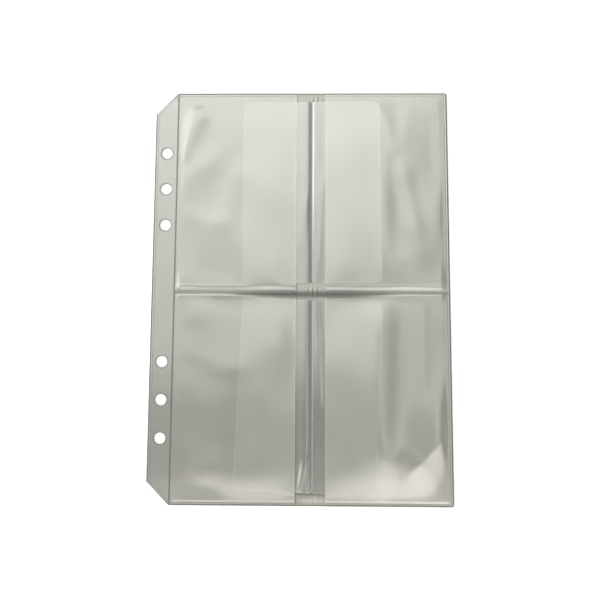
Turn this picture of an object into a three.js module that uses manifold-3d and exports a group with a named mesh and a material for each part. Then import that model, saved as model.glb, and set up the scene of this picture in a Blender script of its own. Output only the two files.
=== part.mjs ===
// Clear vinyl page for a six-ring binder, with four pockets and a tuck-in flap at each mouth.
// It lies flat: +X points away from the rings, +Y to the page's top and +Z through its thickness.
import * as THREE from 'three';
import { mergeVertices } from 'three/addons/utils/BufferGeometryUtils.js';
import Module from 'manifold-3d';

const wasm = await Module();
wasm.setup();

// Page outline, millimetres
const pageWidth = 151.5;
const pageHeight = 210.6;
const cornerRadius = 1.2;
const chamferWidth = 11.2;
const chamferHeight = 10.4;

// Films and the room between them
const filmThickness = 0.2;
const pocketDepth = 0.6;

// Ring holes in the binding strip
const holeDiameter = 5.8;
const holeInset = 6.0;
const holePitch = 19;
const holeGroupGap = 70;
const holesPerGroup = 3;

// Living hinge between the binding strip and the page
const bindingInset = 11.5;
const hingeWebWidth = 1.2;
const hingeWebThickness = 0.3;
const hingeClearance = 0.15;

// Heat-sealed seams
const weldInset = 1.5;
const weldWidth = 0.9;
const weldPress = 0.1;
const weldEdge = 0.1;
const seamRise = 1.0;
const seamLedge = 0.5;
const seamFoot = 0.3;
const crossWeldY = 0.6;
const crossWeldWidth = 1.5;

// Centre weld and the mouths of the pockets on each side of it
const centreWeldInset = 81.7;
const centreWeldWidth = 1.5;
const centreWeldLip = 0.3;
const leftMouthGap = 8.4;
const rightMouthGap = 6.9;

// Die-cut flap films, each welded down its middle. The lower one sits a little askew.
const flapFilmWidth = 70.8;
const flapEndClearance = 1.5;
const flapCornerRadius = 3.5;
const flapLift = 0.2;
const flapHingeOffset = 0.2;
const flapHingeClearance = 0.2;
const upperFlaps = { row: 'upper', shift: { x: -0.3, y: 0.5 }, turnDegrees: 0.3 };
const lowerFlaps = { row: 'lower', shift: { x: -1.7, y: 0.3 }, turnDegrees: -2.3 };

// Facets on round edges
const holeSegments = 32;
const cornerSegments = 8;

// Places worked out from the sizes above
const pageRight = pageWidth / 2;
const pageTop = pageHeight / 2;
const foldX = -pageRight + bindingInset;
const stripEdgeX = foldX - hingeWebWidth / 2;
const pageEdgeX = foldX + hingeWebWidth / 2 + hingeClearance;
const centreX = -pageRight + centreWeldInset;
const mouthX = { left: centreX - leftMouthGap, right: centreX + rightMouthGap };
const weldLineInset = weldInset + weldWidth / 2;
const seamReach = seamRise + seamLedge + seamFoot;
const outerWeldY = pageTop - weldLineInset;
const crossWeldHalf = crossWeldWidth / 2;

// The flap films fit between the seams of the upper pockets, which are a little shorter
const flapFilmLength = outerWeldY - crossWeldY - crossWeldHalf - 2 * (seamReach + flapEndClearance);

// Heights of the film faces above the underside
const backTop = filmThickness;
const rimTop = backTop + filmThickness;
const weldTop = rimTop - weldPress;
const panelUnder = backTop + pocketDepth;
const panelTop = panelUnder + filmThickness;
const flapUnder = backTop + flapLift;
const flapTop = flapUnder + filmThickness;

// Reach of a cut: right across the page, or just past the face of a film
const beyond = pageWidth + pageHeight;
const pastFace = 1;

const filmMaterial = (color, opacity) =>
  new THREE.MeshStandardMaterial({ color, roughness: 0.18, metalness: 0, transparent: true, opacity });
const materials = {
  back: filmMaterial(0xc3c5bd, 0.6),
  front: filmMaterial(0xd6d8d1, 0.4),
  flap: filmMaterial(0xe2e3dd, 0.45),
  weld: filmMaterial(0xaeb0a8, 0.7),
};

function toSolid(geometry) {
  const bare = geometry.clone();
  bare.deleteAttribute('normal');
  bare.deleteAttribute('uv');
  const merged = mergeVertices(bare);
  const mesh = new wasm.Mesh({
    numProp: 3,
    vertProperties: new Float32Array(merged.attributes.position.array),
    triVerts: new Uint32Array(merged.index.array),
  });
  return new wasm.Manifold(mesh);
}

function toGeometry(solid) {
  const { vertProperties, triVerts } = solid.getMesh();
  const geometry = new THREE.BufferGeometry();
  geometry.setAttribute('position', new THREE.BufferAttribute(vertProperties, 3));
  geometry.setIndex(new THREE.BufferAttribute(triVerts, 1));
  geometry.computeVertexNormals();
  return geometry;
}

// Flat plate of an outline between two heights
function plate(shape, low, high) {
  const geometry = new THREE.ExtrudeGeometry(shape, {
    depth: high - low,
    bevelEnabled: false,
    curveSegments: cornerSegments,
  });
  return toSolid(geometry.translate(0, 0, low));
}

function block(x, y, z) {
  const geometry = new THREE.BoxGeometry(x[1] - x[0], y[1] - y[0], z[1] - z[0]);
  return toSolid(geometry.translate((x[0] + x[1]) / 2, (y[0] + y[1]) / 2, (z[0] + z[1]) / 2));
}

// Closed profile carried along an open path with mitred corners. Profile points are
// [distance to the left of the path, height], and run anticlockwise.
function sweep(path, profile) {
  const points = path.map(([x, y]) => new THREE.Vector2(x, y));
  const normals = points.slice(1).map((point, i) => {
    const along = point.clone().sub(points[i]).normalize();
    return new THREE.Vector2(-along.y, along.x);
  });
  const positions = [];
  points.forEach((point, i) => {
    const before = normals[Math.max(i - 1, 0)];
    const after = normals[Math.min(i, normals.length - 1)];
    const mitre = before.clone().add(after).divideScalar(1 + before.dot(after));
    for (const [across, height] of profile) {
      positions.push(point.x + mitre.x * across, point.y + mitre.y * across, height);
    }
  });
  const indices = [];
  const count = profile.length;
  for (let i = 0; i < points.length - 1; i += 1) {
    for (let j = 0; j < count; j += 1) {
      const next = (j + 1) % count;
      const [a, b, c, d] = [i * count + j, i * count + next, (i + 1) * count + next, (i + 1) * count + j];
      indices.push(a, b, c, a, c, d);
    }
  }
  const last = (points.length - 1) * count;
  const outline = profile.map(([across, height]) => new THREE.Vector2(across, height));
  for (const [a, b, c] of THREE.ShapeUtils.triangulateShape(outline, [])) {
    indices.push(a, c, b, last + a, last + b, last + c);
  }
  const geometry = new THREE.BufferGeometry();
  geometry.setAttribute('position', new THREE.Float32BufferAttribute(positions, 3));
  geometry.setIndex(indices);
  return toSolid(geometry);
}

// The page's cut outline: chamfered at the rings' side, slightly rounded at the other
function pageOutline() {
  const shape = new THREE.Shape();
  shape.moveTo(-pageRight + chamferWidth, -pageTop);
  shape.lineTo(pageRight - cornerRadius, -pageTop);
  shape.absarc(pageRight - cornerRadius, -pageTop + cornerRadius, cornerRadius, -Math.PI / 2, 0);
  shape.lineTo(pageRight, pageTop - cornerRadius);
  shape.absarc(pageRight - cornerRadius, pageTop - cornerRadius, cornerRadius, 0, Math.PI / 2);
  shape.lineTo(-pageRight + chamferWidth, pageTop);
  shape.lineTo(-pageRight, pageTop - chamferHeight);
  shape.lineTo(-pageRight, -pageTop + chamferHeight);
  shape.closePath();
  return shape;
}

// The outline's stretch between two places across the page, as a plate
function pagePlate(x, low, high) {
  const z = [low - pastFace, high + pastFace];
  return plate(pageOutline(), low, high).intersect(block(x, [-beyond, beyond], z));
}

function ringHoles() {
  const radius = holeDiameter / 2;
  const depth = 2 * (rimTop + pastFace);
  const drill = new THREE.CylinderGeometry(radius, radius, depth, holeSegments);
  drill.rotateX(Math.PI / 2);
  const holes = [];
  for (const side of [-1, 1]) {
    for (let i = 0; i < holesPerGroup; i += 1) {
      const y = side * (holeGroupGap / 2 + i * holePitch);
      holes.push(toSolid(drill.clone().translate(-pageRight + holeInset, y, 0)));
    }
  }
  return wasm.Manifold.union(holes);
}

// Line pressed into the strip's upper film, the weld's inset from its cut edges
function stripWeldGroove() {
  const path = [
    [foldX + beyond, pageTop],
    [-pageRight + chamferWidth, pageTop],
    [-pageRight, pageTop - chamferHeight],
    [-pageRight, -pageTop + chamferHeight],
    [-pageRight + chamferWidth, -pageTop],
    [foldX + beyond, -pageTop],
  ];
  const near = weldInset - weldWidth / 2;
  const far = weldInset + weldWidth / 2;
  const over = rimTop + pastFace;
  return sweep(path, [[near, weldTop], [far, weldTop], [far, over], [near, over]]);
}

function stripFilms() {
  const holes = ringHoles();
  const x = [-beyond, stripEdgeX];
  return {
    strip_back_film: pagePlate(x, 0, backTop).subtract(holes),
    strip_front_film: pagePlate(x, backTop, rimTop).subtract(holes).subtract(stripWeldGroove()),
  };
}

// Fused web on the fold line, which bends when the page is turned
function bindingWeld() {
  const half = hingeWebThickness / 2;
  return pagePlate([stripEdgeX, foldX + hingeWebWidth / 2], backTop - half, backTop + half);
}

// Back film, with the lines that the seams press into it between the mouths
function pageBackFilm() {
  const x = [mouthX.left, mouthX.right];
  const z = [backTop - weldPress, backTop + pastFace];
  const half = weldWidth / 2;
  let film = pagePlate([pageEdgeX, beyond], 0, backTop);
  for (const y of [-pageTop + weldInset, pageTop - weldInset]) {
    film = film.subtract(block(x, [y - half, y + half], z));
  }
  return film.subtract(block(x, [crossWeldY - crossWeldHalf, crossWeldY + crossWeldHalf], z));
}

// A pocket's weld lines and cut edges, from its column and row on the page
function pocketFrame(column, row) {
  const outward = row === 'upper' ? 1 : -1;
  const isLeft = column === 'left';
  return {
    isLeft,
    outward,
    mouth: mouthX[column],
    side: isLeft ? pageEdgeX : pageRight - weldLineInset,
    outer: outward * outerWeldY,
    cross: crossWeldY + outward * crossWeldHalf,
  };
}

// The front film's sealed edge on the three closed sides of a pocket: flat rim, pressed weld
// line, flank up to the panel and the ledge that carries it
function pocketSeam(column, row) {
  const { isLeft, outward, mouth, side, outer, cross } = pocketFrame(column, row);
  const rimReach = weldInset + weldWidth;
  const ledgeEnd = seamRise + seamLedge;
  const profile = [
    [-rimReach, backTop],
    [seamReach, backTop],
    [ledgeEnd, panelUnder],
    [seamRise, panelUnder],
    [seamRise, panelTop],
    [0, weldTop],
    [-weldWidth, weldTop],
    [-weldWidth - weldEdge, rimTop],
    [-rimReach, rimTop],
  ];
  const low = Math.min(outer, cross);
  const high = Math.max(outer, cross);
  const [start, end] = isLeft ? [high, low] : [low, high];
  const seam = sweep([[mouth, start], [side, start], [side, end], [mouth, end]], profile);
  const cell = [crossWeldY, outward * beyond].sort((a, b) => a - b);
  const kept = block([-beyond, beyond], cell, [0, panelTop + pastFace]);
  return seam.intersect(pagePlate([pageEdgeX, beyond], backTop, panelTop)).intersect(kept);
}

// The flat of the front film over a pocket, from its seams to the cut edge of its mouth
function pocketPanel(column, row) {
  const { isLeft, outward, mouth, side, outer, cross } = pocketFrame(column, row);
  const closedX = side + (isLeft ? seamRise : -seamRise);
  const x = [mouth, closedX].sort((a, b) => a - b);
  const y = [outer - outward * seamRise, cross + outward * seamRise].sort((a, b) => a - b);
  return block(x, y, [panelUnder, panelTop]);
}

function flapFilm({ row, shift, turnDegrees }, low, high) {
  const [x, y, r] = [flapFilmWidth / 2, flapFilmLength / 2, flapCornerRadius];
  const shape = new THREE.Shape();
  shape.absarc(x - r, y - r, r, 0, Math.PI / 2);
  shape.absarc(-x + r, y - r, r, Math.PI / 2, Math.PI);
  shape.absarc(-x + r, -y + r, r, Math.PI, Math.PI * 1.5);
  shape.absarc(x - r, -y + r, r, Math.PI * 1.5, Math.PI * 2);
  shape.closePath();
  const { outer, cross } = pocketFrame('left', row);
  const place = [centreX + shift.x, (outer + cross) / 2 + shift.y, 0];
  return plate(shape, low, high).rotate([0, 0, turnDegrees]).translate(place);
}

// The welded middle of a flap film, with its pressed line, and the two flaps that hinge beside it
function flapSet(flaps) {
  const land = centreWeldWidth / 2;
  const near = land + flapHingeOffset + flapHingeClearance;
  const everyY = [-beyond, beyond];
  const everyZ = [0, panelTop];
  const pressed = land - centreWeldLip;
  const middle = block([centreX - land, centreX + land], everyY, everyZ);
  const pressedLine = block([centreX - pressed, centreX + pressed], everyY, [weldTop, panelTop]);
  const left = block([centreX - beyond, centreX - near], everyY, everyZ);
  const right = block([centreX + near, centreX + beyond], everyY, everyZ);
  return {
    [`flap_weld_${flaps.row}`]: flapFilm(flaps, backTop, rimTop).intersect(middle).subtract(pressedLine),
    [`flap_${flaps.row}_left`]: flapFilm(flaps, flapUnder, flapTop).intersect(left),
    [`flap_${flaps.row}_right`]: flapFilm(flaps, flapUnder, flapTop).intersect(right),
  };
}

function addPart(group, name, solid, material) {
  const mesh = new THREE.Mesh(toGeometry(solid), material);
  mesh.name = name;
  group.add(mesh);
}

const page = new THREE.Group();
page.name = 'binder_pocket';

const strip = stripFilms();
addPart(page, 'strip_back_film', strip.strip_back_film, materials.back);
addPart(page, 'strip_front_film', strip.strip_front_film, materials.front);
addPart(page, 'binding_weld', bindingWeld(), materials.weld);
addPart(page, 'page_back_film', pageBackFilm(), materials.back);
for (const row of ['upper', 'lower']) {
  for (const column of ['left', 'right']) {
    addPart(page, `seam_${row}_${column}`, pocketSeam(column, row), materials.weld);
    addPart(page, `front_film_${row}_${column}`, pocketPanel(column, row), materials.front);
  }
}
for (const flaps of [upperFlaps, lowerFlaps]) {
  for (const [name, solid] of Object.entries(flapSet(flaps))) {
    addPart(page, name, solid, name.startsWith('flap_weld') ? materials.weld : materials.flap);
  }
}

export default page;
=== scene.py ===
"""Clear vinyl pocket page for a ring binder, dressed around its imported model."""

import math

import bmesh
import bpy
import numpy as np
from mathutils import Matrix, Vector


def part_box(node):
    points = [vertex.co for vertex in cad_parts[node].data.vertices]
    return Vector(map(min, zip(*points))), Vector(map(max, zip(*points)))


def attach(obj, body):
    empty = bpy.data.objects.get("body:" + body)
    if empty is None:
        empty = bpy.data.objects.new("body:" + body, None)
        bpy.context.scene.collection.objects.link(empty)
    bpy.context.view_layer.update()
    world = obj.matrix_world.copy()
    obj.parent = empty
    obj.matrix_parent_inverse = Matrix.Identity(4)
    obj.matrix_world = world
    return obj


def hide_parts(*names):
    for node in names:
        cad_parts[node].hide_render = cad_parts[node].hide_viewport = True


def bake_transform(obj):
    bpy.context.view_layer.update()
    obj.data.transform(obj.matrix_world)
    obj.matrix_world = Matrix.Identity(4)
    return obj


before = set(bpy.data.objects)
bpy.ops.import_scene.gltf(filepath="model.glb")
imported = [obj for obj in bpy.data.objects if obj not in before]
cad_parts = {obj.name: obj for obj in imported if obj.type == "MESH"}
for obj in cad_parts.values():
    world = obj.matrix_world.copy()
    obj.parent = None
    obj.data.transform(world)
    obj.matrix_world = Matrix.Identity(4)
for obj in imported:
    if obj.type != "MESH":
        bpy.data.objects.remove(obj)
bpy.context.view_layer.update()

bl_info = {
    "name": "Binder Pocket Page",
    "version": (1, 0, 0),
    "blender": (4, 5, 0),
    "location": "3D View > Sidebar > Pocket Page",
    "description": "Makes the films of a welded pocket page and the studio they lie in",
    "category": "Add Mesh",
}

MM = 0.001


def edge(node, side, axis):
    """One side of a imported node, in millimetres: side 0 is its low side and 1 its high side."""
    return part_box(node)[side][axis] / MM


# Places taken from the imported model, in millimetres
PAGE_RIGHT = edge("page_back_film", 1, 0)
PAGE_TOP = edge("page_back_film", 1, 1)
FOLD_X = (edge("binding_weld", 0, 0) + edge("binding_weld", 1, 0)) / 2
CENTRE_X = (edge("flap_weld_upper", 0, 0) + edge("flap_weld_upper", 1, 0)) / 2
MOUTH_LEFT = edge("front_film_upper_left", 1, 0)
MOUTH_RIGHT = edge("front_film_upper_right", 0, 0)

# Cuts and welds of the page, in millimetres
CHAMFER_WIDTH, CHAMFER_HEIGHT = 11.2, 10.4
CHAMFER_LENGTH = math.hypot(CHAMFER_WIDTH, CHAMFER_HEIGHT)
CORNER_RADIUS = 1.2
WELD_INSET, CROSS_Y = 1.3, 0.6
HOLE_RADIUS = 2.9
HOLE_X = -PAGE_RIGHT + 6.0
HOLE_YS = (35.0, 54.0, 73.0)

# Flap films: half width, half length and corner radius, and where each lies
FLAP_HALF_WIDTH, FLAP_HALF_LENGTH, FLAP_CORNER = 35.4, 47.7, 3.5
FLAP_ROWS = {
    "upper": {"centre": (CENTRE_X - 0.3, 52.85), "turn": 0.3},
    "lower": {"centre": (CENTRE_X - 1.7, -51.45), "turn": -2.3},
}
FLAP_HINGES = {"left": 5.0, "right": 6.9}
CENTRE_HALF = 0.75

# Bend of the films, in millimetres: to each side of the binding weld, and out from a flap's hinge
BINDING_BEND = 1.0
FLAP_BEND = (-0.5, 0.9)

# Heights of the middle of each film above the table, in millimetres
BACK_LEVEL, RIM_LEVEL, WELD_LEVEL, FLAP_LEVEL, FRONT_LEVEL = 0.09, 0.262, 0.245, 0.27, 0.47
BARE_LEVEL = 0.30
EDGE_DROOP, DROOP_WIDTH = 0.10, 0.5
LIFT_LIMIT = 4.0
TABLE_WAVE, TABLE_WAVE_EDGE = 0.12, 14.0
PUCKER_HEIGHT = 0.08

# Centre weld: its ribs, its rise from the back film, and its bead and left edge above that
RIB_HEIGHT, RIB_SPACING = 0.012, 1.2
WELD_RISE, BEAD_HEIGHT, WELD_EDGE_HEIGHT = 0.18, 0.13, 0.06

# Flap films beside the centre weld: rise from the back film, then width and height of the hump
FLAP_GAP, FLAP_FOOT_WIDTH = 0.04, 5.0
FLAP_FOOT = {"left": 0.24, "right": 0.31}
FLAP_HUMP = {"left": (3.2, 0.42), "right": (1.4, 0.06)}

# Half width and soft edge of the groove that each weld presses into the front film
OUTER_GROOVE, BINDING_GROOVE, CROSS_GROOVE = (0.2, 0.25), (0.25, 0.25), (0.3, 0.25)

# Width of the slope from each weld up to the pocket's film, and the flat beside the weld
OUTER_SLOPE_UPPER, OUTER_SLOPE_LOWER, SIDE_SLOPE = 2.4, 1.1, 3.0
CROSS_SLOPE_UPPER, CROSS_SLOPE_LOWER = 2.6, 1.6
WELD_FLAT, CROSS_FLAT = 0.3, 0.4

# Height and reach of the front film's rise past the cross weld: the upper pockets, then the lower
CROSS_CREST, CROSS_CREST_REACH = 0.385, 9.0
CROSS_BEAD, CROSS_BEAD_REACH = 0.3, 3.5

# How far a weld holds down the pillow, and how far it holds down the folds
END_PILLOW, SIDE_PILLOW = 9.0, 18.0
END_HOLD, SIDE_HOLD = 4.5, {"left": 4.5, "right": 3.2}

# Front film near the mouth and over the flap films: share of the pillow lost at the mouth and how
# far in, height and width of the step at a flap film's outline, and the slope out past it
MOUTH_LOSS, MOUTH_REACH = 0.6, 7.0
STEP_HEIGHT, STEP_WIDTH, PAST_FLAP = 0.05, 1.6, 10.0
LEAST_LIFT = 0.05

# Random waves of the front films: height, length in millimetres, how many, and their seeds
WAVE, WAVE_LENGTH, WAVE_COUNT = 0.10, 42.0, 14
WAVE_SEEDS = {"left": 5, "right": 11}

# Reach of each painted line from its middle, and its soft edge, in millimetres: painted shade along the
# cut edge, the dark weld and binding lines, and painted shade round the holes
CUT_SHADE_BAND, WELD_BAND, BINDING_BAND, HOLE_SHADE_BAND = (0.4, 0.35), (0.1, 0.3), (0.22, 0.3), (0.25, 0.4)
# Painted highlight line just inside the rim weld: its inset and reach
HIGHLIGHT_LINE_INSET, HIGHLIGHT_LINE_BAND = 0.95, (0.1, 0.25)
# Painted highlight band above the cross weld: its rise and reach
CROSS_HIGHLIGHT_RISE, CROSS_HIGHLIGHT_BAND = 2.7, (1.2, 0.9)
# Lighter back film where no flap film covers it, at the centre weld's ends and cross: half width, ends
# and band
PATCH_WIDTH_BAND, PATCH_ENDS, PATCH_CROSS_BAND = (7.0, 2.0), (99.0, 101.0), (4.0, 2.0)
# Reach of the painted shadow below the cross weld, broadest near the centre, and the edges of the bare
# flap film at the mouths
CROSS_SHADOW_NEAR, MOUTH_EDGE = (12.0, 50.0), (-0.6, 0.6)
# Painted highlight on the right flank of the centre weld's bead: its edge, its rise towards the top,
# and its least strength
BEAD_HIGHLIGHT_EDGE, BEAD_HIGHLIGHT_RISE, BEAD_HIGHLIGHT_LOW = (-0.1, 0.35), (15.0, 65.0), 0.2

# Strength of each painted line: painted shade along the cut edge, the dark weld line, the cross weld's
# line with its painted shadow, the binding line and painted shade round the holes
CUT_SHADE_SHARE, WELD_SHARE, CROSS_SHADOW_SHARE, BINDING_SHARE, HOLE_SHADE_SHARE = 0.85, 0.25, 0.9, 0.7, 0.5
# Strength of the painted highlight line inside the rim weld and of the painted highlight band above the
# cross weld
HIGHLIGHT_LINE_SHARE, CROSS_HIGHLIGHT_SHARE = 0.5, 0.2
# Painted highlight along free cut edges: its strength, the opacity it adds, and how much of it the bare
# flap film hides
EDGE_HIGHLIGHT_SHARE, EDGE_HIGHLIGHT_OPACITY, BARE_HIDES = 0.8, 0.35, 0.65

# Finish of each film: opacity, cloudiness of its tint, roughness, refraction and gloss coat
BACK_FINISH = {"alpha": 0.93, "cloud": 0.06, "roughness": 0.2, "ior": 1.9, "coat": 0.5}
FRONT_FINISH = {"alpha": 0.45, "cloud": 0.05, "roughness": 0.15, "ior": 2.7, "coat": 1.0}
FLAP_FINISH = {"alpha": 0.57, "cloud": 0.04, "roughness": 0.15, "ior": 2.9, "coat": 1.0}
WELD_FINISH = {"alpha": 0.85, "cloud": 0.06, "roughness": 0.2, "ior": 2.4, "coat": 1.0}

# How much the haze varies the opacity, and the rubbing the roughness
HAZE_SHARE, RUB_SHARE = 0.06, 0.12

# Edges of a film that turn by less than this are shaded smooth
SMOOTH_ANGLE = math.radians(35)

# Edges of the room's panels, as slopes of a ray: along the page's length or across its width
CEILING_FRONT, CEILING_BACK, CEILING_RIGHT = (-0.05, 0.055), (0.85, 1.2), (0.07, 0.46)
CEILING_GLOW, CEILING_DIM, CEILING_GAIN = (0.08, 0.45), 1.15, 1.15
SHADE_LEFT, SHADE_RIGHT, SHADE_BACK, SHADE_SHARE = (0.025, 0.085), (0.1, 0.17), (0.08, 0.2), 0.65
ASIDE_START, ASIDE_TURN = 0.11, 1.3
FRONT_EDGE, FRONT_RIGHT = (-0.3, -0.115), (0.4, 0.9)
FRONT_GLOW, FRONT_DIM, FRONT_GAIN = (0.05, 0.15), 1.7, 1.0
WINDOW_EDGE, WINDOW_BACK = (-0.55, -0.28), (0.7, 1.2)
WINDOW_GLOW, WINDOW_DIM, WINDOW_GAIN = (0.2, 0.35), 2.1, 0.8
LOWEST_RAY = 0.02

# Room away from its panels, and the pale backdrop that gloss shows low down
ROOM_DIM = 0.1
HORIZON_EDGE, BACKDROP_EDGE = (0.5, 0.72), (0.1, 0.6)
BACKDROP_LOW, BACKDROP_DROP = 0.95, 0.45
COOL_LIGHT, WARM_LIGHT = (1.0, 1.0, 0.955), (1.0, 0.965, 0.89)

# Table: its width in metres, its height in millimetres, and the glow that only the camera sees
FLOOR_SIZE, FLOOR_Z, FLOOR_GLOW = 8, -0.4, 0.15

# Camera: its place in millimetres and the two sides of its picture
EYE = (5.835, -42.798, 352.879)
EYE_RIGHT, EYE_UP = (0.99985, 0.00514, -0.01647), (-0.0033, 0.9938, 0.1108)


class FilmSizes(bpy.types.PropertyGroup):
    """Sizes of the films that a maker would change."""

    thickness: bpy.props.FloatProperty(
        name="Film thickness", description="Thickness of each film",
        default=0.16 * MM, min=0.05 * MM, max=0.2 * MM, precision=5, unit="LENGTH")
    pillow: bpy.props.FloatProperty(
        name="Pillow", description="How far the front film puffs up between its welds",
        default=0.45 * MM, min=0.0, max=1.5 * MM, precision=5, unit="LENGTH")
    wrinkle: bpy.props.FloatProperty(
        name="Wrinkles", description="Strength of the folds that storage left in the films",
        default=1.0, min=0.0, max=2.0, subtype="FACTOR")


class FilmColours(bpy.types.PropertyGroup):
    """Colours of the films and the welds, with the painted highlights, painted shade and painted fill
    light among them.
    """

    back: bpy.props.FloatVectorProperty(
        name="Back film", description="Tint of the back film", size=3,
        default=(0.110, 0.111, 0.102), min=0.0, max=1.0, subtype="COLOR")
    # The underside is lighter than the upper face as painted fill light, since only the floor lights it
    under: bpy.props.FloatVectorProperty(
        name="Underside", description="Tint of the back film's lower face", size=3,
        default=(0.340, 0.342, 0.318), min=0.0, max=1.0, subtype="COLOR")
    front: bpy.props.FloatVectorProperty(
        name="Front film", description="Tint of the front films", size=3,
        default=(0.490, 0.492, 0.460), min=0.0, max=1.0, subtype="COLOR")
    # Milky tint of the flap films, lightened inside the pockets as painted light for the light that the
    # front film holds back
    flap: bpy.props.FloatVectorProperty(
        name="Flap film", description="Milky tint of the tuck-in flaps inside the pockets", size=3,
        default=(0.610, 0.614, 0.578), min=0.0, max=1.0, subtype="COLOR")
    # The flap films' darker tint between the mouths, where no front film covers them and no painted
    # light is added
    bare: bpy.props.FloatVectorProperty(
        name="Bare flap", description="Tint of the flaps between the mouths of the pockets", size=3,
        default=(0.330, 0.332, 0.310), min=0.0, max=1.0, subtype="COLOR")
    # Dark tint of the pressed weld lines and the centre weld, also used for painted shade along the
    # page's cut edge, round the holes and below the cross weld
    weld: bpy.props.FloatVectorProperty(
        name="Weld", description="Tint of the pressed lines, the page's rim and the centre weld",
        size=3, default=(0.09, 0.09, 0.082), min=0.0, max=1.0, subtype="COLOR")
    # Painted highlight along a film's free cut edge and in the painted highlight lines, drawn as a pale
    # tint
    edge: bpy.props.FloatVectorProperty(
        name="Cut edge", description="Tint of a film's free cut edge", size=3,
        default=(0.80, 0.803, 0.76), min=0.0, max=1.0, subtype="COLOR")
    # Lighter tint of the back film at the ends and the cross of the centre weld, where no flap film
    # covers it
    patch: bpy.props.FloatVectorProperty(
        name="Bare patch", description="Milky tint of the back film at the ends of the centre weld",
        size=3, default=(0.300, 0.302, 0.280), min=0.0, max=1.0, subtype="COLOR")
    # Painted highlight on the right flank of the centre weld's bead, brighter towards the page's top,
    # drawn as a pale tint
    bead: bpy.props.FloatVectorProperty(
        name="Bead", description="Milky tint of the vinyl pressed out along the centre weld", size=3,
        default=(0.78, 0.785, 0.74), min=0.0, max=1.0, subtype="COLOR")


class StudioSettings(bpy.types.PropertyGroup):
    """Table, room light and camera."""

    floor: bpy.props.FloatVectorProperty(
        name="Floor", description="Colour of the table", size=3,
        default=(0.9, 0.9, 0.9), min=0.0, max=1.0, subtype="COLOR")
    lamp: bpy.props.FloatProperty(
        name="Lamp level", description="Scales the light of the room's panels and window",
        default=1.0, min=0.0, max=4.0)
    lens: bpy.props.FloatProperty(
        name="Lens", description="Focal length of the camera", default=42.0, min=20, max=200,
        unit="CAMERA")


class Wire:
    """A shader socket that Python arithmetic can be written with."""

    def __init__(self, net, socket):
        self.net, self.socket = net, socket

    def math(self, operation, *others):
        return self.net.add("ShaderNodeMath", {"operation": operation}, self, *others)

    def reflected(self, operation, number):
        return self.net.add("ShaderNodeMath", {"operation": operation}, number, self)

    def __add__(self, other): return self.math("ADD", other)
    def __sub__(self, other): return self.math("SUBTRACT", other)
    def __mul__(self, other): return self.math("MULTIPLY", other)
    def __truediv__(self, other): return self.math("DIVIDE", other)
    def __radd__(self, number): return self.reflected("ADD", number)
    def __rsub__(self, number): return self.reflected("SUBTRACT", number)
    def __rmul__(self, number): return self.reflected("MULTIPLY", number)
    def __rtruediv__(self, number): return self.reflected("DIVIDE", number)
    def __abs__(self): return self.math("ABSOLUTE")

    def least(self, other):
        return self.math("MINIMUM", other)

    def most(self, other):
        return self.math("MAXIMUM", other)

    def clamp(self):
        return self.net.add("ShaderNodeClamp", {}, self)

    def ramp(self, low, high):
        """0 up to low and 1 from high on, with soft ends."""
        return self.net.add("ShaderNodeMapRange", {"interpolation_type": "SMOOTHSTEP"},
                            self, low, high, 0.0, 1.0)

    def band(self, half, soft):
        """1 where this value is within half of zero, falling to 0 over soft."""
        return ((half + soft - abs(self)) / soft).clamp()


class Net:
    """The node tree of a material or the world, built from Python expressions."""

    def __init__(self, tree):
        self.tree = tree
        tree.nodes.clear()

    def node(self, kind, settings, *inputs, **named):
        """Adds a node, sets its settings, then links or sets its sockets by order and by name."""
        node = self.tree.nodes.new(kind)
        for name, value in settings.items():
            setattr(node, name, value)
        pairs = list(zip(node.inputs, inputs))
        pairs += [(node.inputs[name.replace("_", " ")], value) for name, value in named.items()]
        for socket, value in pairs:
            if isinstance(value, Wire):
                self.tree.links.new(value.socket, socket)
            elif value is not None:
                socket.default_value = value
        return node

    def add(self, kind, settings, *inputs, out=0, **named):
        """Adds a node and gives one of its outputs."""
        return Wire(self, self.node(kind, settings, *inputs, **named).outputs[out])

    def mix(self, factor, a, b):
        """Mixes two colours, which are the node's sockets 6 and 7."""
        unused = [None] * 5
        return self.add("ShaderNodeMix", {"data_type": "RGBA"}, factor, *unused, a, b, out=2)

    def split(self, vector):
        """The three parts of a vector."""
        return [Wire(self, part) for part in self.node("ShaderNodeSeparateXYZ", {}, vector).outputs]

    def finish(self, surface, kind="ShaderNodeOutputMaterial"):
        self.node(kind, {}, Surface=surface)


def rgba(colour, share=1.0):
    return (colour[0] * share, colour[1] * share, colour[2] * share, 1.0)


def new_material(name):
    material = bpy.data.materials.new(name)
    material.use_nodes = True
    return material, Net(material.node_tree)


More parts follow.
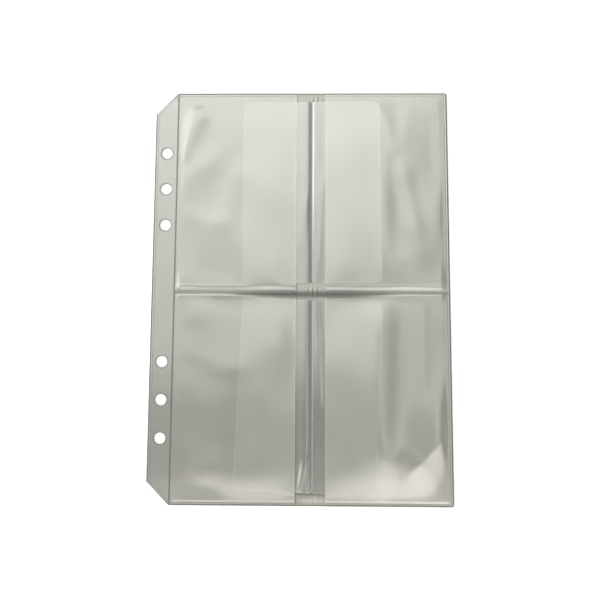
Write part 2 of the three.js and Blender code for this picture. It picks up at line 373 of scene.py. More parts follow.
def page_lines(net):
    """Masks of the page's cut edge, its welds, its hole rims and its painted highlight lines, from each
    point's place at rest. The cut edge and the hole rims carry painted shade, and the cross weld a
    painted shadow below it.
    """
    place = net.add("ShaderNodeAttribute", {"attribute_name": "place"}, out="Vector")
    x, y, _ = net.split(place)
    x, y = x / MM, y / MM
    across, along, from_centre = abs(x), abs(y), x - CENTRE_X
    corner = ((x + PAGE_RIGHT) * CHAMFER_HEIGHT + (PAGE_TOP - along) * CHAMFER_WIDTH
              - CHAMFER_WIDTH * CHAMFER_HEIGHT) / CHAMFER_LENGTH
    inset = (PAGE_RIGHT - across).least(PAGE_TOP - along).least(corner)
    on_page = (x - FOLD_X).math("GREATER_THAN", 0.0)
    # The cross weld's dark line, with a painted shadow below it that is broad and dark at the centre
    # and thins to a fine line towards the sides
    near = 1 - abs(from_centre).ramp(*CROSS_SHADOW_NEAR)
    cross = (y - CROSS_Y + near * 0.7 + 0.5).band(near * 0.35 + 0.35, near * 1.3 + 0.5)
    hole = None
    for hole_y in HOLE_YS:
        dx, dy = x - HOLE_X, along - hole_y
        reach = (dx * dx + dy * dy).math("SQRT")
        hole = reach if hole is None else hole.least(reach)
    # Painted highlight lines: one just inside the rim weld, and a band above the cross weld on the page
    highlight_line = (inset - HIGHLIGHT_LINE_INSET).band(*HIGHLIGHT_LINE_BAND) * HIGHLIGHT_LINE_SHARE
    cross_highlight = (y - CROSS_Y - CROSS_HIGHLIGHT_RISE).band(*CROSS_HIGHLIGHT_BAND) * on_page * CROSS_HIGHLIGHT_SHARE
    # cut and rim hold painted shade along the outline and round the holes, cross the cross weld's line
    # with its painted shadow, and pale the painted highlight lines
    return {
        "place": place, "x": x, "y": y,
        "cut": inset.band(*CUT_SHADE_BAND),
        "pale": highlight_line.most(cross_highlight),
        "weld": (inset - WELD_INSET).band(*WELD_BAND),
        "binding": (x - FOLD_X).band(*BINDING_BAND),
        "cross": cross * on_page * (near * 0.5 + 0.5),
        "rim": (hole - HOLE_RADIUS).band(*HOLE_SHADE_BAND),
        "patch": from_centre.band(*PATCH_WIDTH_BAND) * along.ramp(*PATCH_ENDS).most(
            (y - CROSS_Y).band(*PATCH_CROSS_BAND)),
    }


def film_material(name, tint, finish, weld_and_shade_tint=None, edge_highlight_tint=None, patch_tint=None,
                  bead_highlight_tint=None, bare_tint=None, underside_lit_tint=None):
    """Soft vinyl film: a faint cloudy tint, rubbed gloss, matt dark lines for the pressed welds and for
    painted shade along the cut outline, round the holes and as the cross weld's painted shadow, and a
    painted highlight along free cut edges.
    """
    material, net = new_material(name)
    lines = page_lines(net)
    haze = net.add("ShaderNodeTexNoise", {}, Vector=lines["place"], Scale=26.0, Detail=2.0)
    rubs = net.add("ShaderNodeTexNoise", {}, Vector=lines["place"], Scale=90.0, Detail=3.0,
                   Roughness=0.6)
    ripple = net.add("ShaderNodeTexNoise", {}, Vector=lines["place"], Scale=60.0, Detail=1.0)
    cloud = finish["cloud"]
    base = net.mix(haze, rgba(tint, 1.0 - cloud), rgba(tint, 1.0 + cloud))
    opacity = (haze - 0.5) * HAZE_SHARE + finish["alpha"]
    # The back film is lighter where no flap film covers it
    if patch_tint:
        base = net.mix(lines["patch"], base, rgba(patch_tint))
    # Painted fill light: the underside is lighter than the upper face, since only the floor lights it
    if underside_lit_tint:
        upper = net.add("ShaderNodeAttribute", {"attribute_name": "upper"}, out="Fac")
        base = net.mix(upper, rgba(underside_lit_tint), base)
    shown = 1.0
    # Between the mouths the flap film keeps its darker bare tint; inside the pockets its tint is
    # lightened as painted light for the light that the front film holds back
    if bare_tint:
        bare = (lines["x"] - MOUTH_LEFT).ramp(*MOUTH_EDGE)
        bare = bare * (1 - (lines["x"] - MOUTH_RIGHT).ramp(*MOUTH_EDGE))
        base = net.mix(bare, base, rgba(bare_tint))
        shown = 1 - bare * BARE_HIDES
    # Painted highlight on the right flank of the centre weld's bead, brighter towards the page's top;
    # lit is its strength
    if bead_highlight_tint:
        lit = lines["y"].ramp(*BEAD_HIGHLIGHT_RISE) * (1 - BEAD_HIGHLIGHT_LOW) + BEAD_HIGHLIGHT_LOW
        lit = (lines["x"] - CENTRE_X).ramp(*BEAD_HIGHLIGHT_EDGE) * lit
        base = net.mix(lit, base, rgba(bead_highlight_tint))
    # Painted highlight along free cut edges and in the painted highlight lines, which also makes them
    # more opaque
    if edge_highlight_tint:
        rim = net.add("ShaderNodeAttribute", {"attribute_name": "cut_edge"}, out="Fac")
        free = (rim * (1 - lines["cut"])).most(lines["pale"]) * shown
        base = net.mix(free * EDGE_HIGHLIGHT_SHARE, base, rgba(edge_highlight_tint))
        opacity = opacity + free * EDGE_HIGHLIGHT_OPACITY
    bump = net.add("ShaderNodeBump", {}, Strength=0.2, Distance=0.0002, Height=ripple)
    surface = net.add(
        "ShaderNodeBsdfPrincipled", {}, Base_Color=base, IOR=finish["ior"], Alpha=opacity.clamp(),
        Roughness=rubs * RUB_SHARE + (finish["roughness"] - RUB_SHARE / 2), Normal=bump,
        Coat_Weight=finish["coat"], Coat_Roughness=0.1, Coat_IOR=1.8)
    # Matt dark lines: the pressed welds, the cross weld's line with painted shadow below it, and
    # painted shade along the cut outline and round the holes
    if weld_and_shade_tint:
        marks = (lines["rim"] * HOLE_SHADE_SHARE).most(lines["cut"] * CUT_SHADE_SHARE)
        marks = marks.most(lines["weld"] * WELD_SHARE).most(lines["cross"] * CROSS_SHADOW_SHARE)
        marks = marks.most(lines["binding"] * BINDING_SHARE)
        line = net.add("ShaderNodeBsdfPrincipled", {}, Base_Color=rgba(weld_and_shade_tint), Roughness=0.45,
                       IOR=1.5, Alpha=0.95)
        surface = net.add("ShaderNodeMixShader", {}, marks, surface, line)
    net.finish(surface)
    return material


def deselect():
    bpy.ops.object.select_all(action="DESELECT")


def make_active(piece):
    deselect()
    piece.select_set(True)
    bpy.context.view_layer.objects.active = piece


def split_lines(axis, low, high, spacing):
    """Divides the cells between two grid lines of one axis, so that the new lines lie spacing apart."""
    cuts = round((high - low) / spacing) - 1
    if cuts < 1:
        return
    sheet = bpy.context.object.data
    mesh = bmesh.from_edit_mesh(sheet)
    slack = 1e-3
    for item in mesh.edges:
        a, b = sorted(v.co[axis] / MM for v in item.verts)
        item.select_set(b - a > slack / 10 and a > low - slack and b < high + slack)
    bmesh.update_edit_mesh(sheet)
    bpy.ops.mesh.subdivide(number_cuts=cuts)


def cut_at(point, normal, clear=False):
    """Cuts the whole sheet along an upright plane, and clears what lies beyond it if asked."""
    bpy.ops.mesh.select_all(action="SELECT")
    bpy.ops.mesh.bisect(plane_co=(point[0] * MM, point[1] * MM, 0), plane_no=(normal[0], normal[1], 0),
                        clear_outer=clear, threshold=1e-7)


def grid_sheet(name, x_bands, y_bands):
    """A flat sheet whose grid lines are close together where the film bends sharply.
    A band is its low end and the spacing of the lines up to the next band, in millimetres."""
    deselect()
    bounds = [(bands[0][0], bands[-1][0]) for bands in (x_bands, y_bands)]
    middle = [sum(pair) / 2 * MM for pair in bounds]
    bpy.ops.mesh.primitive_plane_add(size=1, location=(*middle, 0))
    piece = bpy.context.object
    piece.name = piece.data.name = name
    bpy.ops.transform.resize(value=[(high - low) * MM for low, high in bounds] + [1])
    bpy.ops.object.transform_apply(location=True, rotation=True, scale=True)
    bpy.ops.object.mode_set(mode="EDIT")
    bpy.ops.mesh.select_mode(type="EDGE")
    for axis, bands in enumerate((x_bands, y_bands)):
        normal = (1, 0) if axis == 0 else (0, 1)
        for low, _ in bands[1:-1]:
            cut_at((low, low), normal)
        for (low, spacing), (high, _) in zip(bands, bands[1:]):
            split_lines(axis, low, high, spacing)
    bpy.ops.object.mode_set(mode="OBJECT")
    return piece


def round_corner(corner, signs, radius, steps=5):
    """Trims one square corner of the sheet to an arc, with straight cuts."""
    centre = [c - s * radius for c, s in zip(corner, signs)]
    for i in range(steps + 1):
        turn = math.pi / 2 * (i + 0.5) / (steps + 1)
        normal = (signs[0] * math.cos(turn), signs[1] * math.sin(turn))
        point = [c + n * radius for c, n in zip(centre, normal)]
        cut_at(point, normal, clear=True)


def trim_outline(left=True, right=True):
    """Trims the sheet to the page's outline: two cut-off corners at the rings, two small round ones."""
    bpy.ops.object.mode_set(mode="EDIT")
    for up in (-1, 1):
        if left:
            cut_at((-PAGE_RIGHT + CHAMFER_WIDTH, up * PAGE_TOP), (-CHAMFER_HEIGHT, up * CHAMFER_WIDTH),
                   clear=True)
        if right:
            round_corner((PAGE_RIGHT, up * PAGE_TOP), (1, up), CORNER_RADIUS)
    bpy.ops.object.mode_set(mode="OBJECT")


def point_places(piece):
    """The coordinates of a piece's points in one row, in metres."""
    points = piece.data.vertices
    place = np.empty(len(points) * 3)
    points.foreach_get("co", place)
    return place


def mark_cut_edges(piece):
    """Gives the points on a flat sheet's cut edges the value 1 in the attribute cut_edge."""
    mesh = bmesh.new()
    mesh.from_mesh(piece.data)
    on_edge = [float(any(e.is_boundary for e in v.link_edges)) for v in mesh.verts]
    mesh.free()
    attribute = piece.data.attributes.new("cut_edge", "FLOAT", "POINT")
    attribute.data.foreach_set("value", on_edge)


def lift(piece, heights):
    """Raises each point of a flat sheet to its height in millimetres, with a weighted Displace."""
    mark_cut_edges(piece)
    place = point_places(piece).reshape(-1, 3) / MM
    levels = np.clip(heights(place[:, 0], place[:, 1]) / LIFT_LIMIT, 0, 1)
    group = piece.vertex_groups.new(name="height")
    for index, level in enumerate(levels.tolist()):
        group.add((index,), level, "REPLACE")
    shape = piece.modifiers.new("Height", "DISPLACE")
    shape.direction, shape.mid_level = "Z", 0.0
    shape.strength, shape.vertex_group = LIFT_LIMIT * MM, "height"
    make_active(piece)
    bpy.ops.object.modifier_apply(modifier=shape.name)
    piece.vertex_groups.clear()


def thicken(piece, thickness):
    """Gives the lifted sheet its thickness, half to each side, and smooth shading off its cut edges."""
    wall = piece.modifiers.new("Thickness", "SOLIDIFY")
    wall.thickness, wall.offset, wall.use_even_offset = thickness, 0.0, False
    make_active(piece)
    bpy.ops.object.modifier_apply(modifier=wall.name)
    bpy.ops.object.mode_set(mode="EDIT")
    bpy.ops.mesh.select_all(action="SELECT")
    bpy.ops.mesh.normals_make_consistent(inside=False)
    bpy.ops.object.mode_set(mode="OBJECT")
    bpy.ops.object.shade_smooth_by_angle(angle=SMOOTH_ANGLE)


def punch_holes(piece):
    """Punches the six ring holes through a finished film."""
    cutters = []
    for sign in (-1, 1):
        for hole_y in HOLE_YS:
            deselect()
            bpy.ops.mesh.primitive_cylinder_add(
                vertices=48, radius=HOLE_RADIUS * MM, depth=6 * MM,
                location=(HOLE_X * MM, sign * hole_y * MM, 0))
            cutters.append(bpy.context.object)
    for cutter in cutters:
        cutter.select_set(True)
    bpy.context.view_layer.objects.active = cutters[0]
    bpy.ops.object.join()
    cutter = bpy.context.object
    cut = piece.modifiers.new("Holes", "BOOLEAN")
    cut.operation, cut.solver, cut.object = "DIFFERENCE", "EXACT", cutter
    make_active(piece)
    bpy.ops.object.modifier_apply(modifier=cut.name)
    bpy.data.objects.remove(cutter)
    bpy.ops.object.shade_smooth_by_angle(angle=SMOOTH_ANGLE)


def smooth(t):
    t = np.clip(t, 0, 1)
    return t * t * (3 - 2 * t)


def hill(x, y, centre, radii, turn):
    """A soft mound of height 1. Radii are its reach along and across the direction of turn, which is
    in degrees."""
    c, s = math.cos(math.radians(turn)), math.sin(math.radians(turn))
    u = ((x - centre[0]) * c + (y - centre[1]) * s) / radii[0]
    v = (-(x - centre[0]) * s + (y - centre[1]) * c) / radii[1]
    return np.exp(-(u * u + v * v))


def fold(x, y, start, end, widths, sharp):
    """A long low fold of height 1 from start to end, fading at both ends, with its own reach on each
    side: right and left for one that goes up the page. A sharp one has a narrower crest."""
    dx, dy = end[0] - start[0], end[1] - start[1]
    length = math.hypot(dx, dy)
    along = ((x - start[0]) * dx + (y - start[1]) * dy) / length / length
    off = ((x - start[0]) * dy - (y - start[1]) * dx) / length
    off = np.where(off > 0, off / widths[0], -off / widths[1])
    body = np.exp(-off * off) * (1 - sharp) + np.exp(-1.6 * off) * sharp
    return body * smooth(along * 3 + 0.5) * smooth((1 - along) * 3 + 0.5)


def page_inset(x, y):
    """Distance in from the page's cut edge."""
    corner = ((x + PAGE_RIGHT) * CHAMFER_HEIGHT + (PAGE_TOP - np.abs(y)) * CHAMFER_WIDTH
              - CHAMFER_WIDTH * CHAMFER_HEIGHT) / CHAMFER_LENGTH
    return np.minimum(np.minimum(PAGE_RIGHT - np.abs(x), PAGE_TOP - np.abs(y)), corner)


def pressed(distance, half, soft):
    """1 on a pressed line, 0 beside it."""
    return 1 - smooth((np.abs(distance) - half) / soft)


def table_wave(x, y):
    """The slight waves of the whole page on its table, the same for every film."""
    wave = np.sin(x / 21 + y / 47 + 0.6) + np.sin(x / 34 - y / 29 + 2.1)
    wave = (wave + 2) / 4
    return TABLE_WAVE * wave * smooth(page_inset(x, y) / TABLE_WAVE_EDGE)


def soft_waves(x, y, seed):
    """Smooth random waves with a root mean square of about 1, the same for the same seed."""
    draw = np.random.RandomState(seed)
    total = np.zeros_like(x)
    for _ in range(WAVE_COUNT):
        turn = draw.uniform(0, math.pi)
        stretch = draw.uniform(0.7, 1.6)
        phase = draw.uniform(0, 2 * math.pi)
        step = 2 * math.pi / (WAVE_LENGTH * stretch)
        total += np.sin((x * math.cos(turn) + y * math.sin(turn)) * step + phase)
    return total * math.sqrt(2 / WAVE_COUNT)


# Folds and mounds of the front films, in millimetres: height first, then place and reach
LEFT_FOLDS = (
    (1.08, (-64, 71), (-51.5, 97), (5.4, 6.5), 0.0),
    (0.34, (-42, 34), (-31, 66), (6.0, 5.0), 0.0),
    (0.26, (-36, 34), (-62, 40), (6.0, 6.0), 0.0),
    (0.24, (-26, -38), (-64, -26), (9.0, 7.0), 0.0),
    (0.30, (-41, -80), (-40, -34), (8.0, 10.0), 0.0),
)
LEFT_HILLS = (
    (0.46, (-51, 66), (13, 6.5), 42),
    (0.36, (-43, 29), (10, 12), 20),
    (0.33, (-51, -10), (10, 7.5), 10),
    (0.14, (-46, -62), (14, 12), 70),
    (0.18, (-18, 58), (10, 26), 0),
    (0.22, (-16, -20), (11, 14), 0),
    (0.10, (-44, -90), (9, 5), 10),
)
RIGHT_FOLDS = (
    (0.13, (49.5, 73), (39.5, 101), (4.0, 3.4), 0.2),
    (0.05, (51, 73), (58, 101), (3.6, 4.2), 0.2),
    (0.20, (43.5, 14), (43.0, 76), (4.0, 4.5), 0.2),
    (0.22, (60, 30), (52, 66), (4.0, 4.0), 0.1),
    (0.09, (62.4, -48), (62.0, 0), (2.4, 3.0), 0.2),
    (0.74, (39.0, -92), (41.0, -8), (7.6, 10.5), 0.0),
    (1.1, (90, -52), (54, -90), (16.0, 11.0), 0.5),
)
RIGHT_HILLS = (
    (0.12, (52, 63), (7, 8), 20),
    (0.22, (26, 62), (11, 28), 0),
    (0.14, (24, -24), (10, 14), 10),
    (0.24, (58, 18), (10, 7), 0),
)


def marks_height(x, y, folds, hills):
    """Height of all the folds and mounds of one film."""
    total = np.zeros_like(x)
    for height, start, end, width, sharp in folds:
        total += height * fold(x, y, start, end, width, sharp)
    for height, centre, radii, turn in hills:
        total += height * hill(x, y, centre, radii, turn)
    return total


def flap_reach(x, y):
    """Distance out from the nearest flap film's outline, below 0 inside it."""
    nearest = np.full_like(x, 99.0)
    for row in FLAP_ROWS.values():
        turn = math.radians(row["turn"])
        dx, dy = x - row["centre"][0], y - row["centre"][1]
        u = np.abs(dx * math.cos(turn) + dy * math.sin(turn)) - FLAP_HALF_WIDTH + FLAP_CORNER
        v = np.abs(dy * math.cos(turn) - dx * math.sin(turn)) - FLAP_HALF_LENGTH + FLAP_CORNER
        reach = np.hypot(np.maximum(u, 0), np.maximum(v, 0)) + np.minimum(np.maximum(u, v), 0)
        nearest = np.minimum(nearest, reach - FLAP_CORNER)
    return nearest


def front_height(x, y, side, sizes):
    """Height of a front film: flat on the rim, pressed at the welds, puffed over the pockets and
    stepped up over the flap films."""
    inset = page_inset(x, y)
    # The film's cut edge droops onto the back film along the page's top and right sides
    upper_right = np.minimum(PAGE_RIGHT - x, PAGE_TOP - y) - np.minimum(PAGE_RIGHT + x, PAGE_TOP + y)
    droop = (1 - np.tanh(upper_right)) / 2
    level = RIM_LEVEL - EDGE_DROOP * droop * (1 - np.clip(inset / DROOP_WIDTH, 0, 1))
    press = pressed(inset - WELD_INSET, *OUTER_GROOVE)
    from_outer = PAGE_TOP - np.abs(y) - WELD_INSET - WELD_FLAT
    from_cross = np.abs(y - CROSS_Y) - CROSS_FLAT
    if side == "left":
        from_side, from_mouth = x - FOLD_X - WELD_FLAT, MOUTH_LEFT - x
        press = np.maximum(press, pressed(x - FOLD_X, *BINDING_GROOVE))
        folds, hills = LEFT_FOLDS, LEFT_HILLS
    else:
        from_side, from_mouth = PAGE_RIGHT - x - WELD_INSET - WELD_FLAT, x - MOUTH_RIGHT
        folds, hills = RIGHT_FOLDS, RIGHT_HILLS
    press = np.maximum(press, pressed(y - CROSS_Y, *CROSS_GROOVE) * (from_side > -WELD_FLAT))
    level = level - (level - WELD_LEVEL) * press

    # Inside is 0 on the welds and 1 past the slopes beside them
    upper = y > CROSS_Y
    climb = from_cross / CROSS_SLOPE_UPPER
    climb = np.clip(climb, 0, 1) * 0.7 + smooth(climb) * 0.3
    inside = (smooth(from_outer / np.where(upper, OUTER_SLOPE_UPPER, OUTER_SLOPE_LOWER))
              * smooth(from_side / SIDE_SLOPE)
              * np.where(upper, climb, smooth(from_cross / CROSS_SLOPE_LOWER)))

    # Room is the share of the pillow, and free is the share of the folds, that the welds leave
    room, free = 1.0, 1.0
    for distance, pillow, hold in ((from_outer, END_PILLOW, END_HOLD),
                                   (from_cross, END_PILLOW, END_HOLD),
                                   (from_side, SIDE_PILLOW, SIDE_HOLD[side])):
        distance = np.maximum(distance, 0)
        room = room * (1 - np.exp(-(distance / pillow) ** 2))
        free = free * (1 - np.exp(-(distance / hold) ** 2))
    room = room * (1 - MOUTH_LOSS * np.exp(-(from_mouth / MOUTH_REACH) ** 2))
    marks = marks_height(x, y, folds, hills) + WAVE * soft_waves(x, y, WAVE_SEEDS[side])
    lifted = sizes.pillow / MM * room + marks * free * sizes.wrinkle
    # Never below zero, with a soft turn at it
    lifted = (lifted + np.sqrt(lifted ** 2 + LEAST_LIFT ** 2)) / 2

    reach = flap_reach(x, y)
    film = BARE_LEVEL + (FRONT_LEVEL - BARE_LEVEL) * (1 - smooth(reach / PAST_FLAP))
    past_slope = np.maximum(from_cross - CROSS_SLOPE_UPPER, 0)
    crest = (CROSS_CREST + level - film) * np.exp(-(past_slope / CROSS_CREST_REACH) ** 2)
    bead = CROSS_BEAD * np.exp(-(from_cross / CROSS_BEAD_REACH) ** 2)
    step = STEP_HEIGHT * (1 - smooth(reach / STEP_WIDTH))
    rise = film - level + lifted + np.where(upper, crest, bead) + step
    return level + rise * inside + table_wave(x, y)


def seal_puckers(x, y):
    """Fine upright puckers in the back film at both ends and at the cross of the centre weld."""
    from_centre = x - CENTRE_X
    ends = np.exp(-((np.abs(y) - (PAGE_TOP - 3.6)) / 1.7) ** 2)
    cross = np.exp(-((y - CROSS_Y) / 2.6) ** 2)
    near = np.exp(-((from_centre / 6.0) ** 4))
    ripple = np.cos(from_centre * 3.0 + 0.8 * np.sin(y * 0.9)) + 0.6 * np.cos(from_centre * 2.3 + 1.2)
    return PUCKER_HEIGHT * (ends + cross) * near * (1.6 + ripple)


def back_height(x, y):
    """Height of the back film: flat on the table but for waves and the puckers of the centre weld."""
    return BACK_LEVEL + table_wave(x, y) + seal_puckers(x, y)


# Folds of the flap films where no front film covers them, in millimetres
FLAP_FOLDS = (
    (0.18, (-1.5, -100), (4.0, -80), (1.6, 1.6), 0.2),
    (0.14, (-1.0, 20), (3.0, 50), (2.4, 2.4), 0.0),
    (0.16, (9.5, 12), (11.0, 60), (1.8, 1.8), 0.0),
    (0.12, (10.5, -60), (9.0, -20), (1.8, 1.8), 0.2),
)


def weld_height(x, y):
    """Height of the centre weld: crimped ribs between a low left edge and a bead along its right."""
    from_centre = x - CENTRE_X
    ribs = RIB_HEIGHT * np.cos(y * 2 * math.pi / RIB_SPACING)
    ribs = ribs * (1 - (np.abs(from_centre) / CENTRE_HALF) ** 2)
    bead = BEAD_HEIGHT * smooth((from_centre + 0.2) / 0.75)
    left_edge = WELD_EDGE_HEIGHT * (1 - smooth((from_centre + CENTRE_HALF) / 0.6))
    return BACK_LEVEL + WELD_RISE + bead + left_edge + ribs + table_wave(x, y)


def flap_height(x, y, side):
    """Height of a flap film: down on the back film at the centre weld, up over the pocket's mouth."""
    from_weld = (CENTRE_X - x if side == "left" else x - CENTRE_X) - CENTRE_HALF
    foot = BACK_LEVEL + FLAP_FOOT[side]
    width, crest = FLAP_HUMP[side]
    rise = 1 - (1 - np.clip(from_weld / width, 0, 1)) ** 2
    hump = crest * rise * np.exp(-(np.maximum(from_weld - width, 0) / 2.6) ** 2)
    bare = rise * np.exp(-(np.maximum(from_weld - FLAP_FOOT_WIDTH, 0) / 2.0) ** 2)
    marks = marks_height(x, y, FLAP_FOLDS, ()) * bare
    flat = foot + (FLAP_LEVEL - foot) * smooth(from_weld / FLAP_FOOT_WIDTH)
    return flat + hump + marks + table_wave(x, y)


def keep_place(piece):
    """Stores the place of each point at rest as the attribute place, so that the marks and the haze
    stay on the film where it folds, and whether it is on the upper face as the attribute upper."""
    place = point_places(piece)
    piece.data.attributes.new("place", "FLOAT_VECTOR", "POINT").data.foreach_set("vector", place)
    facing = np.empty_like(place)
    piece.data.vertex_normals.foreach_get("vector", facing)
    upper = (facing[2::3] > 0).astype(float)
    piece.data.attributes.new("upper", "FLOAT", "POINT").data.foreach_set("value", upper)


def dress(piece, material, slot, body, *nodes, fold_to=None):
    """Gives a finished piece its material and hides the imported nodes that it stands for. A piece
    without fold_to is attached to its body; one with fold_to, which holds the second body and the ends
    of its bend, only has its place baked into its points, and nothing here bends it."""
    keep_place(piece)
    piece.data.materials.clear()
    piece.data.materials.append(material)
    if fold_to:
        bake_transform(piece)
    else:
        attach(piece, body)
    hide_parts(*nodes)


# Bands of grid lines across the films' width and along the page's upper half, as in grid_sheet
X_STRIP = [(-PAGE_RIGHT, 0.2), (-PAGE_RIGHT + 1.2, 0.2), (-PAGE_RIGHT + 2.8, 1.0),
           (FOLD_X - 1.4, 0.2), (FOLD_X + 1.2, 0.4), (FOLD_X + 4.8, 1.2)]
X_BACK = X_STRIP + [(-3.0, 0.3), (15.0, 1.5), (PAGE_RIGHT - 4, 0.5), (PAGE_RIGHT, 0)]
X_LEFT = X_STRIP + [(MOUTH_LEFT - 0.9, 0.3), (MOUTH_LEFT, 0)]
X_RIGHT = [(MOUTH_RIGHT, 0.3), (MOUTH_RIGHT + 0.9, 1.2), (60, 0.8), (PAGE_RIGHT - 6.0, 0.4),
           (PAGE_RIGHT - 2.8, 0.2), (PAGE_RIGHT, 0)]
Y_UPPER = [(CROSS_Y, 0.2), (CROSS_Y + 1.0, 0.3), (CROSS_Y + 4.0, 1.3),
           (PAGE_TOP - 8.0, 0.6), (PAGE_TOP - 4.0, 0.2), (PAGE_TOP, 0)]

# The second body of a film that runs on over the binding weld, and the ends of its bend
BINDING_FOLD = ("page", ((FOLD_X - BINDING_BEND) * MM, 0, 0), ((FOLD_X + BINDING_BEND) * MM, 0, 0))


def y_lines():
    """Bands along the whole page: the upper ones, mirrored at the cross weld for the lower half."""
    lower = [(2 * CROSS_Y - high, spacing) for (_, spacing), (high, _) in zip(Y_UPPER, Y_UPPER[1:])]
    lower.reverse()
    lower[0] = (-PAGE_TOP, lower[0][1])
    return lower + Y_UPPER


class BINDERPOCKET_OT_back_film(bpy.types.Operator):
    """Makes the one back film of the strip and the page, with its punched holes"""

    bl_idname = "binderpocket.back_film"
    bl_label = "Back Film"

    def execute(self, context):
        colours = context.scene.film_colours
        piece = grid_sheet("back_film", X_BACK, y_lines())
        trim_outline()
        lift(piece, back_height)
        thicken(piece, context.scene.film_sizes.thickness)
        punch_holes(piece)
        material = film_material("back film vinyl", colours.back, BACK_FINISH,
                                 weld_and_shade_tint=colours.weld, patch_tint=colours.patch,
                                 underside_lit_tint=colours.under)
        dress(piece, material, "back_film", "binding_strip", "strip_back_film", "page_back_film",
              fold_to=BINDING_FOLD)
        return {"FINISHED"}


class BINDERPOCKET_OT_front_films(bpy.types.Operator):
    """Makes the two front films: the left one runs on over the punched strip"""

    bl_idname = "binderpocket.front_films"
    bl_label = "Front Films"

    def execute(self, context):
        sizes, colours = context.scene.film_sizes, context.scene.film_colours
        material = film_material("front film vinyl", colours.front, FRONT_FINISH,
                                 weld_and_shade_tint=colours.weld, edge_highlight_tint=colours.edge)
        left = grid_sheet("front_film_left", X_LEFT, y_lines())
        trim_outline(right=False)
        lift(left, lambda x, y: front_height(x, y, "left", sizes))
        thicken(left, sizes.thickness)
        punch_holes(left)
        dress(left, material, "front_film", "binding_strip", "strip_front_film", "binding_weld",
              "seam_upper_left", "seam_lower_left", "front_film_upper_left", "front_film_lower_left",
              fold_to=BINDING_FOLD)
        right = grid_sheet("front_film_right", X_RIGHT, y_lines())
        trim_outline(left=False)
        lift(right, lambda x, y: front_height(x, y, "right", sizes))
        thicken(right, sizes.thickness)
        dress(right, material, "front_film", "page", "seam_upper_right", "seam_lower_right",
              "front_film_upper_right", "front_film_lower_right")
        return {"FINISHED"}


def flap_piece(row, side, sizes):
    """One flap film from the centre weld to its free edge, with rounded free corners."""
    centre, turn = FLAP_ROWS[row]["centre"], FLAP_ROWS[row]["turn"]
    out = -1 if side == "left" else 1
    free = centre[0] + out * FLAP_HALF_WIDTH
    # From the free edge to past the centre weld, where the turned sheet is cut off again
    places = [free, free - out * 0.6, free - out * 4, CENTRE_X + out * 12, CENTRE_X + out * 5,
              CENTRE_X - out * 4]
    spacings = [0.6, 0.8, 1.6, 0.6, 0.3]
    if side == "right":
        spacings.reverse()
    x_bands = list(zip(sorted(places), spacings + [0]))
    low, high = centre[1] - FLAP_HALF_LENGTH, centre[1] + FLAP_HALF_LENGTH
    y_bands = [(low, 0.6), (low + 0.6, 0.8), (low + 4, 1.6), (high - 4, 0.8), (high - 0.6, 0.6),
               (high, 0)]
    piece = grid_sheet(f"flap_film_{row}_{side}", x_bands, y_bands)
    bpy.ops.object.mode_set(mode="EDIT")
    for y, up in ((low, -1), (high, 1)):
        round_corner((free, y), (out, up), FLAP_CORNER, steps=7)
    bpy.ops.mesh.select_all(action="SELECT")
    bpy.ops.transform.rotate(value=-math.radians(turn), orient_axis="Z",
                             center_override=(centre[0] * MM, centre[1] * MM, 0))
    cut_at((CENTRE_X + out * (CENTRE_HALF + FLAP_GAP), 0), (-out, 0), clear=True)
    bpy.ops.object.mode_set(mode="OBJECT")
    lift(piece, lambda x, y: flap_height(x, y, side))
    thicken(piece, sizes.thickness)
    return piece


class BINDERPOCKET_OT_flap_films(bpy.types.Operator):
    """Makes the four tuck-in flaps, two to a flap film"""

    bl_idname = "binderpocket.flap_films"
    bl_label = "Flap Films"

    def execute(self, context):
        colours = context.scene.film_colours
        material = film_material("flap film vinyl", colours.flap, FLAP_FINISH,
                                 edge_highlight_tint=colours.edge, bare_tint=colours.bare)
        for row in FLAP_ROWS:
            for side, out in (("left", -1), ("right", 1)):
                piece = flap_piece(row, side, context.scene.film_sizes)
                ends = [((FLAP_HINGES[side] + out * reach) * MM, 0, 0) for reach in FLAP_BEND]
                node = f"flap_{row}_{side}"
                dress(piece, material, "flap_film", "page", node, fold_to=(node, *ends))
        return {"FINISHED"}


class BINDERPOCKET_OT_centre_welds(bpy.types.Operator):
    """Makes the two crimped welds that hold the flap films down on the back film"""

    bl_idname = "binderpocket.centre_welds"
    bl_label = "Centre Welds"

    def execute(self, context):
        colours = context.scene.film_colours
        material = film_material("centre weld vinyl", colours.weld, WELD_FINISH, bead_highlight_tint=colours.bead)
        x_bands = [(CENTRE_X - CENTRE_HALF, 0.15), (CENTRE_X + CENTRE_HALF, 0)]
        for row, place in FLAP_ROWS.items():
            middle = place["centre"][1]
            y_bands = [(middle - FLAP_HALF_LENGTH, 0.25), (middle + FLAP_HALF_LENGTH, 0)]
            piece = grid_sheet(f"centre_weld_{row}", x_bands, y_bands)
            lift(piece, weld_height)
            thicken(piece, context.scene.film_sizes.thickness)
            dress(piece, material, "weld", "page", f"flap_weld_{row}")
        return {"FINISHED"}


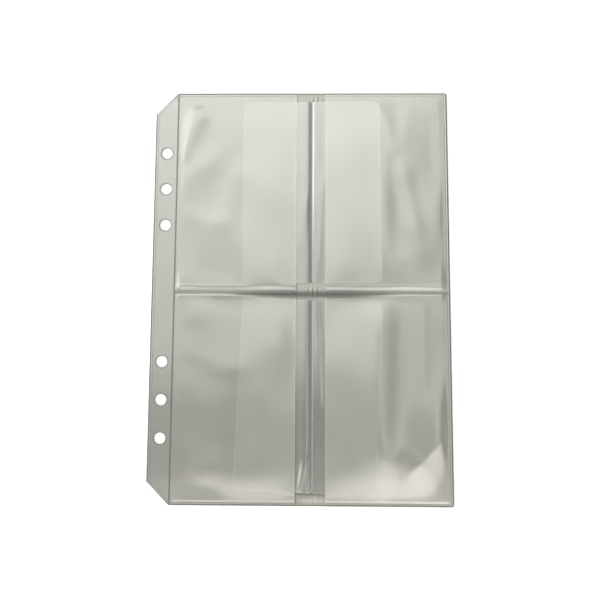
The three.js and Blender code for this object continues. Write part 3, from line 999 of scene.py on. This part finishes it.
def room_light(net):
    """Brightness of the room by direction: a broad ceiling panel behind the page's top, a lower one
    in front and a window on the left, with soft edges, and a dim wall on the right. Low down, gloss
    shows the pale backdrop instead."""
    x, y, level = net.split(net.add("ShaderNodeTexCoord", {}, out="Generated"))
    height = level.most(LOWEST_RAY)
    across, along = x / height, y / height
    turned = along + (across - ASIDE_START).most(0.0) * ASIDE_TURN
    ceiling = turned.ramp(*CEILING_FRONT) * (1 - along.ramp(*CEILING_BACK))
    ceiling = ceiling * (1 - across.ramp(*CEILING_RIGHT))
    ceiling = ceiling * (along.ramp(*CEILING_GLOW) * CEILING_GAIN + CEILING_DIM)
    shade = across.ramp(*SHADE_LEFT) * (1 - across.ramp(*SHADE_RIGHT)) * (1 - along.ramp(*SHADE_BACK))
    ceiling = ceiling * (1 - shade * SHADE_SHARE)
    front = (1 - along.ramp(*FRONT_EDGE)) * (1 - across.ramp(*FRONT_RIGHT))
    front = front * (across.ramp(*FRONT_GLOW) * FRONT_GAIN + FRONT_DIM)
    window = (1 - across.ramp(*WINDOW_EDGE)) * (1 - along.ramp(*WINDOW_BACK))
    window = window * (along.ramp(*WINDOW_GLOW) * WINDOW_GAIN + WINDOW_DIM)
    cool = ceiling.most(window)
    warm = (front - cool).most(0.0)
    horizon = 1 - level.ramp(*HORIZON_EDGE)
    backdrop = BACKDROP_LOW - level.ramp(*BACKDROP_EDGE) * BACKDROP_DROP
    return cool, warm, horizon, backdrop


class BINDERPOCKET_OT_stage(bpy.types.Operator):
    """Makes the white table, the room light and the camera"""

    bl_idname = "binderpocket.stage"
    bl_label = "Stage"

    def execute(self, context):
        studio = context.scene.studio
        deselect()
        bpy.ops.mesh.primitive_plane_add(size=FLOOR_SIZE, location=(0, 0, FLOOR_Z * MM))
        floor = bpy.context.object
        floor.name = "table"
        bpy.ops.object.transform_apply(location=True, rotation=True, scale=True)
        material, net = new_material("white table")
        seen = net.add("ShaderNodeLightPath", {}, out="Is Camera Ray")
        matt = net.add("ShaderNodeBsdfDiffuse", {}, rgba(studio.floor))
        glow = net.add("ShaderNodeEmission", {}, (1, 1, 1, 1), seen * FLOOR_GLOW)
        net.finish(net.add("ShaderNodeAddShader", {}, matt, glow))
        floor.data.materials.append(material)

        world = bpy.data.worlds.new("studio")
        context.scene.world = world
        world.use_nodes = True
        net = Net(world.node_tree)
        cool, warm, horizon, backdrop = room_light(net)
        seen = net.add("ShaderNodeLightPath", {}, out="Is Camera Ray")
        gloss = net.add("ShaderNodeLightPath", {}, out="Is Glossy Ray") * horizon
        room = (1 - seen) * (1 - gloss)
        layers = [((1, 1, 1), seen + room * ROOM_DIM + gloss * backdrop),
                  (COOL_LIGHT, room * cool * studio.lamp),
                  (WARM_LIGHT, room * warm * studio.lamp)]
        sky = None
        for colour, strength in layers:
            light = net.add("ShaderNodeBackground", {}, rgba(colour), strength)
            sky = net.add("ShaderNodeAddShader", {}, sky, light) if sky else light
        net.finish(sky, "ShaderNodeOutputWorld")

        eye, right = Vector(EYE) * MM, Vector(EYE_RIGHT)
        back = right.cross(Vector(EYE_UP)).normalized()
        up = back.cross(right).normalized()
        camera = bpy.data.cameras.new("camera")
        camera.lens, camera.sensor_width = studio.lens, 36
        view = bpy.data.objects.new("camera", camera)
        context.scene.collection.objects.link(view)
        view.matrix_world = Matrix([*zip(right, up, back, eye), (0, 0, 0, 1)])
        camera.clip_start = 0.01
        context.scene.camera = view
        context.scene.view_settings.view_transform = "Standard"
        return {"FINISHED"}


class BINDERPOCKET_PT_panel(bpy.types.Panel):
    """Lists the pieces of the page and their settings"""

    bl_idname = "BINDERPOCKET_PT_panel"
    bl_label = "Pocket Page"
    bl_space_type = "VIEW_3D"
    bl_region_type = "UI"
    bl_category = "Pocket Page"

    def draw(self, context):
        for group in (context.scene.film_sizes, context.scene.film_colours, context.scene.studio):
            for name in group.__annotations__:
                self.layout.prop(group, name)
        for operator in OPERATORS:
            self.layout.operator(operator.bl_idname)


OPERATORS = (BINDERPOCKET_OT_back_film, BINDERPOCKET_OT_front_films, BINDERPOCKET_OT_flap_films,
             BINDERPOCKET_OT_centre_welds, BINDERPOCKET_OT_stage)
GROUPS = (("film_sizes", FilmSizes), ("film_colours", FilmColours), ("studio", StudioSettings))


def register():
    for name, group in GROUPS:
        bpy.utils.register_class(group)
        setattr(bpy.types.Scene, name, bpy.props.PointerProperty(type=group))
    for item in (*OPERATORS, BINDERPOCKET_PT_panel):
        bpy.utils.register_class(item)


def unregister():
    for item in reversed((*OPERATORS, BINDERPOCKET_PT_panel)):
        bpy.utils.unregister_class(item)
    for name, group in reversed(GROUPS):
        delattr(bpy.types.Scene, name)
        bpy.utils.unregister_class(group)


def main():
    register()
    bpy.ops.binderpocket.back_film()
    bpy.ops.binderpocket.front_films()
    bpy.ops.binderpocket.flap_films()
    bpy.ops.binderpocket.centre_welds()
    bpy.ops.binderpocket.stage()


if __name__ == "__main__":
    main()
